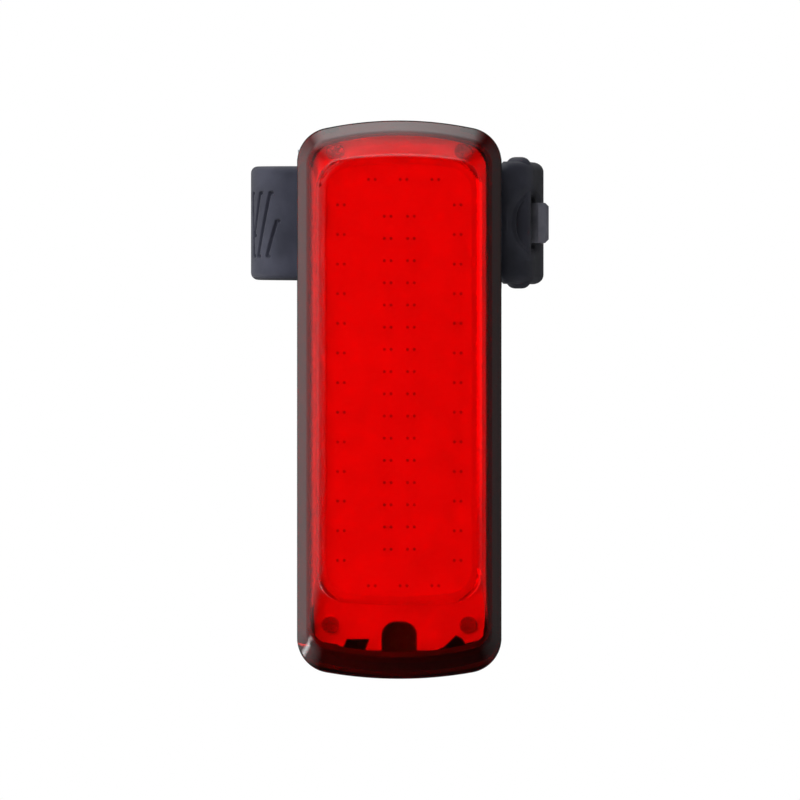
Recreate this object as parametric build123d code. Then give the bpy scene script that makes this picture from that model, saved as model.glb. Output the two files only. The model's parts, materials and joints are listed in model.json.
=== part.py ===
from build123d import *
import math
import os

# Rechargeable rear light for a bicycle, with its rubber strap and post mount, in millimetres.
# The lens faces -Y, +Z is up, and the origin is on the axis of the seat post that the mount clasps,
# halfway up the strap. The body hangs mostly below the strap.

os.makedirs("parts", exist_ok=True)

# Body outline, seen from the front
body_width = 29.0
body_top = 14.36
body_bottom = -64.67
body_rise = 2.1
body_low_rise = 1.8
body_corner = 5.0
window_side = 3.1
window_top = 9.34
window_bottom = -54.05
window_corner = 3.8
window_rise = 1.15
window_low_rise = 0.8

# Depths of the two shells, forward from the body's back face
housing_depth = 11.5
lens_depth = 9.3
lens_wall = 1.5
housing_wall = 1.6
end_wall = 2.4
window_raise = 0.5

# Clearances
fit_gap = 0.3
running_gap = 0.05
overrun = 1.0

# Where the lens and the housing draw in, as shares of their own depths and of the side slope
lens_shoulder_share = 0.56
lens_brow_share = 0.83
shoulder_inset = 0.2
brow_inset = 1.5
brow_inset_top = 1.7
brow_inset_bottom = 3.2
window_foot = 0.3
waist_inset = 0.25
hip_inset = 1.0
back_inset = 2.6
least_corner_share = 0.33
inner_slope_share = 0.33
waist_share = 0.35
hip_share = 0.12

# Seal between lens and housing
seal_width = 0.6
seal_height = 0.6
seal_inset = 0.5

# Boards
led_board_thickness = 1.0
led_board_inset = 0.54
led_board_front_gap = 4.2
led_board_end_gap = 0.5
main_board_thickness = 1.0
main_board_side = 3.5
main_board_top = 7.5
main_board_bottom = -54.0
board_tongue_width = 12.0
board_tongue_bottom = -61.5
board_corner = 1.0

# Chips on the front board, from the photograph's dots
chip_size = 0.42
chip_height = 0.25
chip_pair_pitch = 0.95
outer_column_margin = 3.16
outer_column_count = 13
outer_column_top = 2.36
outer_column_pitch = 4.184
inner_column = 1.64
inner_column_count = 16
inner_column_top = 0.75
inner_column_pitch = 3.134
end_row_count = 3
end_row_pitch = 4.48
end_row_shift = 0.6
end_row_top = 5.94
end_row_bottom = -51.42

# Diffuser behind the window
diffuser_thickness = 0.8
diffuser_rim = 0.7
diffuser_window_gap = 0.3
diffuser_panel_width = 10.08
diffuser_panel_top = 3.0
diffuser_panel_bottom = -48.4
diffuser_panel_raise = 0.25
diffuser_panel_rise = 0.22
diffuser_panel_corner = 2.2

# Pale carrier plate under the front board
carrier_thickness = 1.2
carrier_gap = 0.8
carrier_rise = 1.2
carrier_bottom = -60.7
carrier_rim_gap = 2.1
carrier_rim_width = 0.9
notch_width = 5.0
notch_top = -56.4
notch_round_share = 0.8
step_height = 2.3
# Steps of the lower edge beside the notch: shares of the way from notch to side, and of the step height
left_step_shares = (
    (1.0, 0.61), (0.66, 0.39), (0.58, 0.13), (0.52, 0.74), (0.18, 0.78), (0.24, 0.0),
)
right_step_shares = (
    (0.29, 0.0), (0.41, 0.26), (0.51, 0.7), (0.58, 1.0), (0.67, 0.78), (0.72, 0.43), (1.0, 0.74),
)

# Screws that hold carrier to housing
carrier_screw_radius = 0.75
carrier_head_radius = 1.2
carrier_head_height = 0.6
carrier_screw_length = 7.0
carrier_screw_margin = 3.0
carrier_screw_low_margin = 2.3
carrier_screw_top = 9.7
carrier_screw_bottom = -56.9
boss_radius = 1.85
driver_slot = 0.35
drive_share = 1.2

# Spacers and the link between the boards
spacer_radius = 1.4
spacer_bore = 0.8
spacer_margin = 2.8
spacer_top = 5.0
spacer_bottom = -50.0
link_pins = 4
link_pitch = 1.27
link_pin = 0.4
link_block = 1.6
link_place = -44.0

# Cell, its pad, tape, leads and plug
cell_margin = 2.5
cell_length = 28.0
cell_thickness = 5.2
cell_top = 7.0
cell_corner = 1.4
pad_foam_thickness = 1.9
tape_thickness = 0.5
tape_inset = 1.5
lead_radius = 0.45
lead_pitch = 1.6
lead_bend = 0.9
lead_run_share = 0.33
plug_width = 4.4
plug_length = 3.4
plug_height = 2.6
plug_gap = 3.0
plug_side_gap = 0.4

# Charging socket and its flap
socket_width = 8.94
socket_height = 3.2
socket_length = 7.3
socket_shell = 0.3
socket_tongue_width = 6.7
socket_tongue_height = 0.7
socket_tongue_length = 5.0
socket_depth = 27.6
slot_round_share = 0.42
port_relief = 0.35
flap_width = 13.0
flap_height = 6.6
flap_thickness = 1.2
flap_lift = 0.4
flap_seat = 1.65
flap_hinge_radius = 0.62
flap_hinge_depth = 23.3
flap_plug_reach = 0.5
flap_plug_inset = 0.45
flap_corner = 1.2

# Button and switch
button_place = -31.0
button_radius = 4.2
button_flange_radius = 5.3
button_flange = 0.8
button_proud = 0.9
button_travel = 0.5
button_stem_radius = 1.2
button_dimple_radius = 11.0
button_dimple = 0.25
gasket_width = 0.9
gasket_thickness = 0.5
switch_size = 6.0
switch_height = 3.2
switch_corner = 0.5
plunger_radius = 1.1
plunger_height = 0.5
leg_width = 0.7
leg_thickness = 0.2
leg_reach = 1.2

# Small parts on the main board
lamp_place = -39.5
lamp_radius = 0.8
lamp_base = 1.6
chip_control = (5.0, 5.0, 0.9)
chip_charge = (3.0, 3.0, 0.8)
coil_size = (4.6, 4.6, 2.2)
coil_corner = 1.2
chip_bevel = 0.1
capacitor_size = (1.6, 0.8, 0.7)
control_place = (2.0, -12.0)
charge_place = (-5.5, -24.0)
coil_place = (4.5, -26.0)
capacitor_row = (-7.0, -14.0)
capacitor_pitch = 1.9
capacitor_count = 5

# Mount on the back, and the pad that the post bears on
post_radius = 13.6
pad_gap = 0.1
pad_thickness = 2.2
wing_thickness = 2.0
wing_half_angle = 58
mount_height = 16.0
mount_plate_width = 16.0
mount_plate_height = 25.0
mount_plate_thickness = 2.4
mount_sink = 0.3
mount_corner = 1.5
mount_screw_side = 5.2
mount_screw_height = 10.4
mount_screw_radius = 0.9
mount_head_radius = 1.6
mount_head_height = 1.0
mount_screw_length = 4.6
mount_boss_cap = 0.6
pad_rib_count = 5
pad_rib_depth = 0.35
pad_rib_width = 0.55

# Strap: closed loop in three stretches
strap_thickness = 2.6
strap_width = 16.1
strap_end_width = 17.4
strap_edge = 0.6
loop_radius = 19.56
loop_back = 4.6
loop_side = 0.26
back_bend_angle = 112
end_bend_angle = 15
bend_gap = 0.5
strap_left_bend = 4.3
strap_pin_side = 12.2
strap_pin_back = 2.6
strap_pin_radius = 1.0
strap_eye_radius = 2.4
ear_radius = 2.2
ear_thickness = 2.0
end_turn_angle = -8
end_straight = 8.0
end_curl_radius = 4.5
end_curl_angle = 62
end_boss_width = 18.7
end_boss_radius = 1.9
end_boss_depth = 16.2

# Middle of a quarter turn, as a share of its radius
half_turn_share = math.sqrt(0.5)

# Hole in the strap's end, and the hook that it goes over
hole_front = 18.5
hole_back = 10.4
hole_height = 6.6
hole_front_corner = 2.6
hole_back_corner = 1.6
hook_front = 15.3
hook_stem_front = 13.2
hook_stem_back = 11.4
hook_inner = 19.73
hook_tip = 1.54
hook_height = 5.7
hook_chamfer = 0.5

# Grip grooves on the strap's left bend: angle at the top, angle at the bottom, top and bottom heights
groove_width = 0.35
groove_depth = 0.4
groove_top = 4.2
groove_middle = 0.2
groove_low = -1.8
groove_bottom = -4.7
grooves = (
    (70, 66, groove_top, groove_bottom),
    (50, 64, groove_top, groove_low),
    (31, 54, groove_top, groove_bottom),
    (20, 36, groove_middle, groove_bottom),
)

# Sides worked out from the sizes above, as distances from the middle
window_width = body_width - 2 * window_side
main_board_width = body_width - 2 * main_board_side
outer_column = window_width / 2 - outer_column_margin
carrier_half = body_width / 2 - lens_wall - shoulder_inset - carrier_gap
carrier_screw_side = carrier_half - carrier_screw_margin
carrier_screw_low_side = carrier_half - carrier_screw_low_margin
spacer_side = main_board_width / 2 - spacer_margin
cell_width = main_board_width - 2 * cell_margin
lead_side = -(switch_size / 2 + leg_reach + plug_side_gap + plug_width / 2)

# Depths worked out from the sizes above, all as distances in front of the post's axis
post_seat = post_radius + pad_gap
pad_back = post_seat + pad_thickness
wing_back = pad_back + wing_thickness
back_depth = wing_back + mount_plate_thickness - mount_sink
strap_pin_depth = back_depth - strap_pin_back
parting_depth = back_depth + housing_depth
lens_front = parting_depth + lens_depth + window_raise
window_inside = lens_front - lens_wall
led_board_front = lens_front - led_board_front_gap
led_board_back = led_board_front - led_board_thickness
carrier_back = led_board_back - carrier_thickness
housing_inside = back_depth + housing_wall
main_board_back = housing_inside + pad_foam_thickness + cell_thickness + tape_thickness
main_board_front = main_board_back + main_board_thickness
carrier_rim_height = carrier_back - main_board_front - carrier_rim_gap

# Strap and hook, worked out from the sizes above
hook_outer = hook_inner + hook_tip
half_strap = strap_thickness / 2
bend_spacing = strap_thickness + bend_gap


def front_plane(depth):
    """A plane facing the viewer, this far in front of the post's axis."""
    return Plane(origin=(0, -depth, 0), x_dir=(1, 0, 0), z_dir=(0, -1, 0))


def slab(outline, back, front):
    """An outline seen from the front, made solid between two depths."""
    return extrude(front_plane(back) * outline, front - back)


def block(x_low, x_high, front, back, z_low, z_high):
    """A box between two sides, two depths and two heights."""
    low_corner = (Align.MIN, Align.MIN, Align.MIN)
    return Pos(x_low, -front, z_low) * Box(x_high - x_low, front - back, z_high - z_low, align=low_corner)


def rod(x, z, radius, back, front):
    """A round bar along the depth."""
    return slab(Pos(x, z) * Circle(radius), back, front)


def post(x, depth, radius, z_low, z_high):
    """A round bar along the height."""
    foot = (Align.CENTER, Align.CENTER, Align.MIN)
    return Pos(x, -depth, z_low) * Cylinder(radius, z_high - z_low, align=foot)


def arched(width, top, bottom, rise, low_rise, corner):
    """A tall outline with straight sides, softly arched ends and round corners."""
    half = width / 2
    edges = [
        Line((-half, bottom + low_rise), (-half, top - rise)),
        ThreePointArc((-half, top - rise), (0, top), (half, top - rise)),
        Line((half, top - rise), (half, bottom + low_rise)),
        ThreePointArc((half, bottom + low_rise), (0, bottom), (-half, bottom + low_rise)),
    ]
    face = make_face(Curve() + edges)
    return fillet(face.vertices(), corner)


def body_outline(side, top=None, bottom=None):
    """The body's outline drawn in by so much at the sides, top and bottom."""
    top = side if top is None else top
    bottom = side if bottom is None else bottom
    corner = max(body_corner - side, body_corner * least_corner_share)
    width = body_width - 2 * side
    return arched(width, body_top - top, body_bottom + bottom, body_rise, body_low_rise, corner)


def window_outline(grow):
    """The raised window's outline, grown by so much."""
    width = window_width + 2 * grow
    corner = window_corner + grow / 2
    return arched(width, window_top + grow, window_bottom - grow, window_rise, window_low_rise, corner)


def stack(sections):
    """A ruled solid through outlines at their depths."""
    return loft([front_plane(depth) * outline for depth, outline in sections], ruled=True)


def lens_sections(wall, back):
    """The lens from its rim to the foot of its window, thinner by one wall for the inside."""
    shoulder = parting_depth + lens_depth * lens_shoulder_share - wall * inner_slope_share
    brow = parting_depth + lens_depth * lens_brow_share - wall
    foot = parting_depth + lens_depth - wall
    return [
        (back, body_outline(wall)),
        (shoulder, body_outline(wall + shoulder_inset)),
        (brow, body_outline(wall + brow_inset, wall + brow_inset_top, wall + brow_inset_bottom)),
        (foot, window_outline(window_foot - wall * inner_slope_share)),
    ]


def make_lens_cover():
    """Clear front shell with a raised flat window."""
    outside = stack(lens_sections(0, parting_depth))
    foot = parting_depth + lens_depth
    window = slab(window_outline(0), foot - lens_wall / 2, lens_front)
    shell = outside + fillet(window.faces().sort_by(Axis.Y)[0].edges(), window_raise / 2)
    inside = stack(lens_sections(lens_wall, parting_depth - overrun))
    pocket = slab(window_outline(-lens_wall), foot - 2 * lens_wall, window_inside)
    return shell - inside - pocket


def housing_sections(wall, back_wall):
    """The rear shell from its rim to its back face."""
    waist = back_depth + housing_depth * waist_share
    hip = back_depth + housing_depth * hip_share
    low_wall = end_wall if wall else 0
    return [
        (parting_depth + (overrun if wall else 0), body_outline(wall, wall, low_wall)),
        (waist, body_outline(wall + waist_inset, wall + waist_inset, low_wall + waist_inset)),
        (hip + back_wall, body_outline(wall + hip_inset, wall + hip_inset, low_wall + hip_inset)),
        (back_depth + back_wall, body_outline(wall + back_inset)),
    ]


def carrier_screw_places():
    """Sides and heights of the four screws through the carrier."""
    return [
        (-carrier_screw_side, carrier_screw_top),
        (carrier_screw_side, carrier_screw_top),
        (-carrier_screw_low_side, carrier_screw_bottom),
        (carrier_screw_low_side, carrier_screw_bottom),
    ]


def mount_screw_places():
    """Sides and heights of the four screws through the mount's plate."""
    sides = (-mount_screw_side, mount_screw_side)
    return [(x, z) for x in sides for z in (-mount_screw_height, mount_screw_height)]


def mount_bore_end():
    """Depth that the bores for the mount's screws reach."""
    return back_depth + mount_screw_length - mount_plate_thickness


def port_opening(grow, low, high):
    """The charging port's rounded slot, running up the height."""
    outline = RectangleRounded(
        socket_width + 2 * grow, socket_height + 2 * grow, (socket_height + 2 * grow) * slot_round_share
    )
    return Pos(0, -socket_depth, low) * extrude(outline, high - low)


def make_rear_housing():
    """Dark rear shell with screw bosses, button hole, lamp hole, charging port and flap recess."""
    shell = stack(housing_sections(0, 0)) - stack(housing_sections(housing_wall, housing_wall))
    boss_foot = back_depth + housing_wall / 2
    bosses = [rod(x, z, boss_radius, boss_foot, carrier_back) for x, z in carrier_screw_places()]
    bores = [
        rod(x, z, carrier_screw_radius, carrier_back - carrier_screw_length, carrier_back + overrun)
        for x, z in carrier_screw_places()
    ]
    mount_bosses = [
        rod(x, z, boss_radius, housing_inside - overrun, mount_bore_end() + mount_boss_cap)
        for x, z in mount_screw_places()
    ]
    mount_bores = [
        rod(x, z, mount_screw_radius, back_depth - overrun, mount_bore_end())
        for x, z in mount_screw_places()
    ]
    seal_outer = body_outline(seal_inset)
    seal_inner = body_outline(seal_inset + seal_width)
    groove = slab(seal_outer - seal_inner, parting_depth - seal_height, parting_depth + overrun)
    hole_start = back_depth - overrun
    hole_end = housing_inside + overrun
    button_hole = rod(0, button_place, button_radius + fit_gap, hole_start, hole_end)
    lamp_hole = rod(0, lamp_place, lamp_radius + running_gap, hole_start, hole_end)
    seat_height = body_bottom + flap_seat
    flap_front = socket_depth + flap_height / 2 + fit_gap
    recess = block(
        -flap_width / 2 - fit_gap, flap_width / 2 + fit_gap, flap_front,
        flap_hinge_depth - flap_hinge_radius - fit_gap, body_bottom - overrun, seat_height
    )
    port = port_opening(port_relief, body_bottom - overrun, body_bottom + end_wall + hip_inset)
    housing = shell + bosses + mount_bosses
    return housing - bores - mount_bores - groove - button_hole - lamp_hole - recess - port


def make_lens_seal():
    """Square-section ring in the housing's rim."""
    ring = body_outline(seal_inset) - body_outline(seal_inset + seal_width)
    return slab(ring, parting_depth - seal_height, parting_depth)


def led_board_outline(inset):
    """The front board's outline inside the window."""
    width = window_width - 2 * (led_board_inset + inset)
    top = window_top - led_board_end_gap - inset
    bottom = window_bottom + led_board_end_gap + inset
    return arched(width, top, bottom, window_rise, window_low_rise, window_corner - inset / 2)


def make_led_board():
    """Board that carries the chips."""
    return slab(led_board_outline(0), led_board_back, led_board_front)


def chip_places():
    """Sides and heights of every chip, two to a pair."""
    pairs = []
    for side in (-outer_column, outer_column):
        pairs += [(side, outer_column_top - row * outer_column_pitch) for row in range(outer_column_count)]
    for side in (-inner_column, inner_column):
        pairs += [(side, inner_column_top - row * inner_column_pitch) for row in range(inner_column_count)]
    first = end_row_shift - (end_row_count - 1) / 2 * end_row_pitch
    for height in (end_row_top, end_row_bottom):
        pairs += [(first + place * end_row_pitch, height) for place in range(end_row_count)]
    return [(x + turn * chip_pair_pitch / 2, z) for x, z in pairs for turn in (-1, 1)]


def make_led_chips():
    """Every chip as its own small solid."""
    chip_front = led_board_front + chip_height
    chips = [rod(x, z, chip_size / 2, led_board_front, chip_front) for x, z in chip_places()]
    return Compound(children=chips)


def make_diffuser():
    """Clear plate behind the window, on a rim that stands on the board, with a raised middle panel."""
    front = parting_depth + lens_depth - lens_wall - diffuser_window_gap
    back = front - diffuser_thickness
    plate = slab(led_board_outline(0), back, front)
    rim = slab(led_board_outline(0) - led_board_outline(diffuser_rim), led_board_front, back)
    panel = arched(
        diffuser_panel_width, diffuser_panel_top, diffuser_panel_bottom, diffuser_panel_rise,
        diffuser_panel_rise, diffuser_panel_corner
    )
    return plate + rim + slab(panel, front - diffuser_thickness / 2, front + diffuser_panel_raise)


def carrier_outline(inset):
    """Outline of the carrier plate: arched top, stepped lower edge with a round notch."""
    half = carrier_half - inset
    top = body_top - lens_wall - shoulder_inset - carrier_gap - inset
    bottom = carrier_bottom + inset
    notch = notch_width / 2 + inset
    points = [(-half, top - carrier_rise)]
    for side, share in left_step_shares:
        points.append((-notch - side * (half - notch), bottom + share * step_height))
    points += [(-notch, bottom), (-notch, notch_top), (notch, notch_top), (notch, bottom)]
    for side, share in right_step_shares:
        points.append((notch + side * (half - notch), bottom + share * step_height))
    points += [(half, top - carrier_rise)]
    edges = Polyline(*points) + ThreePointArc(points[-1], (0, top), points[0])
    face = make_face(edges)
    corners = [v for v in face.vertices() if v.Y > top - carrier_rise - overrun]
    face = fillet(corners, body_corner - lens_wall)
    notch_corners = [v for v in face.vertices() if abs(v.Y - notch_top) < running_gap]
    return fillet(notch_corners, notch * notch_round_share)


def make_led_carrier():
    """Pale plate that seats the front board, with a rim behind and screw holes."""
    plate = slab(carrier_outline(0), carrier_back, led_board_back)
    rim_outline = carrier_outline(0) - carrier_outline(carrier_rim_width)
    rim = slab(rim_outline, carrier_back - carrier_rim_height, carrier_back)
    holes = [
        rod(x, z, carrier_screw_radius + running_gap, carrier_back - overrun, led_board_back + overrun)
        for x, z in carrier_screw_places()
    ]
    clear = [
        rod(x, z, boss_radius + fit_gap, carrier_back - carrier_rim_height - overrun, carrier_back)
        for x, z in carrier_screw_places()
    ]
    link = link_block_outline(fit_gap)
    return plate + rim - clear - holes - slab(link, carrier_back - overrun, led_board_back + overrun)


def link_block_outline(grow):
    """Outline of the plastic block of the link between the boards."""
    outline = Rectangle(link_pins * link_pitch + 2 * grow, link_block + 2 * grow)
    return Pos(0, link_place) * outline


def make_board_link():
    """Pin header from board to board."""
    header = slab(link_block_outline(0), main_board_front, led_board_back)
    slots = []
    for pin in range(link_pins - 1):
        x = (pin - (link_pins - 2) / 2) * link_pitch
        slots.append(Pos(x, link_place + link_block / 2) * Rectangle(link_pin, link_pin))
        slots.append(Pos(x, link_place - link_block / 2) * Rectangle(link_pin, link_pin))
    for outline in slots:
        header -= slab(outline, main_board_front - overrun, led_board_back + overrun)
    return header


def make_screw(x, z, radius, head_radius, head_height, length, seat, forward):
    """A screw along the depth. Its head stands off the seat, its shank goes the other way."""
    way = 1 if forward else -1
    top = seat + way * head_height
    tip = seat - way * length
    head = rod(x, z, head_radius, min(seat, top), max(seat, top))
    shank = rod(x, z, radius, min(seat, tip), max(seat, tip))
    reach = head_radius * drive_share
    cross = Rectangle(reach, driver_slot) + Rectangle(driver_slot, reach)
    floor = top - way * head_height / 2
    past = top + way * overrun
    return head + shank - slab(Pos(x, z) * cross, min(floor, past), max(floor, past))


def make_carrier_screws():
    """Four screws from the front, through the carrier, into the housing's bosses."""
    length = carrier_thickness + carrier_screw_length - overrun
    return Compound(
        children=[
            make_screw(
                x, z, carrier_screw_radius - running_gap, carrier_head_radius, carrier_head_height, length,
                led_board_back, True
            )
            for x, z in carrier_screw_places()
        ]
    )


def make_mount_screws():
    """Four screws from the back, through the mount's plate, into the housing."""
    seat = back_depth - mount_plate_thickness + mount_head_height
    length = mount_screw_length - mount_head_height - running_gap
    return Compound(
        children=[
            make_screw(
                x, z, mount_screw_radius - running_gap, mount_head_radius, mount_head_height, length,
                seat, False
            )
            for x, z in mount_screw_places()
        ]
    )


def make_main_board():
    """Board with the electronics, and a tongue that reaches down to the charging socket."""
    height = main_board_top - main_board_bottom
    middle = (main_board_top + main_board_bottom) / 2
    main = Pos(0, middle) * RectangleRounded(main_board_width, height, board_corner)
    tongue_height = main_board_bottom - board_tongue_bottom + 2 * board_corner
    tongue_middle = board_tongue_bottom + tongue_height / 2
    tongue = Pos(0, tongue_middle) * RectangleRounded(board_tongue_width, tongue_height, board_corner)
    return slab(main + tongue, main_board_back, main_board_front)


def make_board_spacers():
    """Four bushes between the two boards' levels."""
    places = [(x, z) for x in (-spacer_side, spacer_side) for z in (spacer_top, spacer_bottom)]
    bushes = [rod(x, z, spacer_radius, main_board_front, carrier_back) for x, z in places]
    bores = [rod(x, z, spacer_bore, back_depth, led_board_back) for x, z in places]
    return Compound(children=[bush - bore for bush, bore in zip(bushes, bores)])


def make_battery_cell():
    """Flat lithium cell with rounded long edges."""
    back = main_board_back - tape_thickness - cell_thickness
    half = cell_width / 2
    shape = block(-half, half, back + cell_thickness, back, cell_top - cell_length, cell_top)
    return fillet(shape.edges().filter_by(Axis.Z), cell_corner)


def make_battery_tape():
    """Tape between the cell and the board."""
    half = cell_width / 2 - tape_inset
    low = cell_top - cell_length + tape_inset
    back = main_board_back - tape_thickness
    return block(-half, half, main_board_back, back, low, cell_top - tape_inset)


def make_battery_pad():
    """Foam between the cell and the housing's back wall."""
    half = cell_width / 2 - tape_inset
    low = cell_top - cell_length + tape_inset
    cell_back = main_board_back - tape_thickness - cell_thickness
    pad = block(-half, half, cell_back, housing_inside, low, cell_top - tape_inset)
    for x, z in mount_screw_places():
        pad -= rod(x, z, boss_radius + fit_gap, housing_inside - overrun, cell_back + overrun)
    return pad


def plug_height_place():
    """Height of the middle of the battery plug."""
    return cell_top - cell_length - plug_gap - plug_length / 2


def make_battery_plug():
    """Small plug that the cell's leads end in."""
    middle = plug_height_place()
    low = middle - plug_length / 2
    high = middle + plug_length / 2
    left = lead_side - plug_width / 2
    body = block(left, left + plug_width, main_board_back, main_board_back - plug_height, low, high)
    return chamfer(body.edges().filter_by(Axis.Z), lead_radius)


def make_battery_leads():
    """Two short leads from the cell's end down into the plug."""
    cell_middle = main_board_back - tape_thickness - cell_thickness / 2
    plug_middle = main_board_back - plug_height / 2
    start = cell_top - cell_length
    finish = plug_height_place() + plug_length / 2
    leads = []
    for turn in (-1, 1):
        x = lead_side + turn * lead_pitch / 2
        run = (start - finish) * lead_run_share
        route = FilletPolyline(
            (x, -cell_middle, start), (x, -cell_middle, start - run), (x, -plug_middle, finish + run),
            (x, -plug_middle, finish), radius=lead_bend
        )
        section = Plane(origin=(x, -cell_middle, start), z_dir=(0, 0, -1)) * Circle(lead_radius)
        leads.append(sweep(section, path=route))
    return Compound(children=leads)


def board_part(size, place):
    """A chip on the front of the main board."""
    width, height, thickness = size
    x, z = place
    return slab(Pos(x, z) * Rectangle(width, height), main_board_front, main_board_front + thickness)


def make_control_chip():
    """Control chip with a bevelled top."""
    chip = board_part(chip_control, control_place)
    return chamfer(chip.faces().sort_by(Axis.Y)[0].edges(), chip_bevel)


def make_charge_chip():
    """Charging chip."""
    chip = board_part(chip_charge, charge_place)
    return chamfer(chip.faces().sort_by(Axis.Y)[0].edges(), chip_bevel)


def make_driver_coil():
    """Shielded coil of the driver."""
    coil = board_part(coil_size, coil_place)
    return chamfer(coil.edges().filter_by(Axis.Y), coil_corner)


def make_board_capacitors():
    """Row of small capacitors."""
    x, z = capacitor_row
    places = [(x, z + place * capacitor_pitch) for place in range(capacitor_count)]
    return Compound(children=[board_part(capacitor_size, place) for place in places])


def make_status_lamp():
    """Clear light pipe from the board to the housing's back."""
    base = Pos(0, lamp_place) * Rectangle(lamp_base, lamp_base)
    return rod(0, lamp_place, lamp_radius, back_depth, main_board_back) + slab(
        base, main_board_back - lamp_radius, main_board_back
    )


def make_usb_socket():
    """Charging socket: shell, mouth and tongue, opening downwards."""
    low = body_bottom + end_wall + running_gap
    high = low + socket_length
    shell = port_opening(0, low, high)
    hollow = port_opening(-socket_shell, low - overrun, high - socket_shell)
    tongue_top = high - socket_shell
    tongue = block(
        -socket_tongue_width / 2, socket_tongue_width / 2, socket_depth + socket_tongue_height / 2,
        socket_depth - socket_tongue_height / 2, tongue_top - socket_tongue_length, tongue_top
    )
    return shell - hollow + tongue


def make_port_flap():
    """Rubber flap over the charging port, with its plug, finger lip and hinge roll."""
    outline_low = body_bottom + flap_lift
    hinge_z = outline_low + flap_hinge_radius
    front = socket_depth + flap_height / 2
    plate = block(
        -flap_width / 2, flap_width / 2, front, flap_hinge_depth, outline_low, outline_low + flap_thickness
    )
    front_corners = plate.edges().filter_by(Axis.Z).sort_by(Axis.Y)[:2]
    plate = fillet(front_corners, flap_corner)
    roll = Pos(0, -flap_hinge_depth, hinge_z) * Rot(0, 90, 0) * Cylinder(flap_hinge_radius, flap_width)
    plug_top = body_bottom + flap_seat + flap_plug_reach
    plug = port_opening(port_relief - flap_plug_inset, outline_low + flap_thickness / 2, plug_top)
    return plate + roll + plug


def make_power_button():
    """Soft button: cap with a dished face, flange behind the wall and a stem to the switch."""
    cap_back = back_depth - button_proud
    cap = rod(0, button_place, button_radius, cap_back, housing_inside + gasket_thickness)
    flange_front = housing_inside + gasket_thickness + button_flange
    flange = rod(0, button_place, button_flange_radius, housing_inside + gasket_thickness, flange_front)
    stem = rod(0, button_place, button_stem_radius, flange_front, switch_top() - plunger_height)
    dish_centre = cap_back - button_dimple_radius + button_dimple
    dish = Pos(0, -dish_centre, button_place) * Sphere(button_dimple_radius)
    cap = chamfer(cap.faces().sort_by(Axis.Y)[-1].edges(), button_dimple)
    return cap + flange + stem - dish


def switch_top():
    """Depth of the face of the switch, towards the button."""
    return main_board_back - switch_height


def make_button_gasket():
    """Sealing ring between the button's flange and the back wall."""
    outer = button_flange_radius
    inner = button_flange_radius - gasket_width
    ring_front = housing_inside + gasket_thickness - running_gap
    ring = rod(0, button_place, outer, housing_inside, ring_front)
    return ring - rod(0, button_place, inner, back_depth, main_board_back)


def make_switch_case():
    """Case of the push switch, with a bore for its plunger."""
    case = slab(
        Pos(0, button_place) * RectangleRounded(switch_size, switch_size, switch_corner),
        switch_top(), main_board_back
    )
    bore_end = switch_top() + 2 * plunger_height + button_travel
    bore = rod(0, button_place, plunger_radius + running_gap, back_depth, bore_end)
    return case - bore


def make_switch_plunger():
    """Plunger of the push switch."""
    return rod(0, button_place, plunger_radius, switch_top() - plunger_height, switch_top() + plunger_height)


def make_switch_legs():
    """Four bent legs that hold the switch on its board."""
    legs = []
    for side in (-1, 1):
        for row in (-1, 1):
            inner = side * switch_size / 2
            outer = side * (switch_size / 2 + leg_reach)
            z = button_place + row * (switch_size / 2 - leg_width)
            legs.append(
                block(
                    min(inner, outer), max(inner, outer), main_board_back, main_board_back - leg_thickness,
                    z - leg_width / 2, z + leg_width / 2
                )
            )
    return Compound(children=legs)


def ring_sector(inner, outer, half_angle, height):
    """A stretch of tube wall in front of the post's axis."""
    ring = Circle(outer) - Circle(inner)
    reach = 2 * outer
    spread = math.radians(half_angle)
    wedge = make_face(
        Polyline(
            (0, 0), (-reach * math.sin(spread), -reach * math.cos(spread)), (-reach, -reach), (0, -2 * reach),
            (reach, -reach), (reach * math.sin(spread), -reach * math.cos(spread)), (0, 0)
        )
    )
    return Pos(0, 0, -height / 2) * extrude(ring & wedge, height)


def make_saddle_pad():
    """Rubber pad between mount and post, with cross grooves at its back edge."""
    pad = ring_sector(post_seat, pad_back, wing_half_angle, mount_height)
    pitch = mount_height / (pad_rib_count + 1)
    for rib in range(pad_rib_count):
        z = (rib + 1) * pitch - mount_height / 2
        pad -= post(0, 0, post_seat + pad_rib_depth, z - pad_rib_width / 2, z + pad_rib_width / 2)
    return pad


def make_strap_mount():
    """Mount: plate on the housing, wings round the pad, ears for the strap's pin, and the hook."""
    plate_outline = RectangleRounded(mount_plate_width, mount_plate_height, mount_corner)
    plate = slab(plate_outline, back_depth - mount_plate_thickness, back_depth)
    wings = ring_sector(pad_back, wing_back, wing_half_angle, mount_height)
    web = block(
        -mount_plate_width / 2, mount_plate_width / 2, back_depth, wing_back - wing_thickness / 2,
        -mount_height / 2, mount_height / 2
    ) - post(0, 0, pad_back, -mount_height, mount_height)
    mount = plate + web + wings
    for side in (-1, 1):
        low = strap_width / 2 + fit_gap if side > 0 else -strap_width / 2 - fit_gap - ear_thickness
        ear = post(-strap_pin_side, strap_pin_depth, ear_radius, low, low + ear_thickness)
        arm = block(
            -strap_pin_side, mount_plate_width / -2 + overrun, strap_pin_depth + ear_radius,
            strap_pin_depth - ear_radius, low, low + ear_thickness
        )
        mount += ear + arm
    mount -= post(-strap_pin_side, strap_pin_depth, strap_pin_radius, -mount_plate_height, mount_plate_height)
    head_seat = back_depth - mount_plate_thickness + mount_head_height
    for x, z in mount_screw_places():
        mount -= rod(x, z, mount_screw_radius + running_gap, 0, back_depth + overrun)
        mount -= rod(x, z, mount_head_radius + running_gap, 0, head_seat)
    return mount + make_hook()


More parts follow.
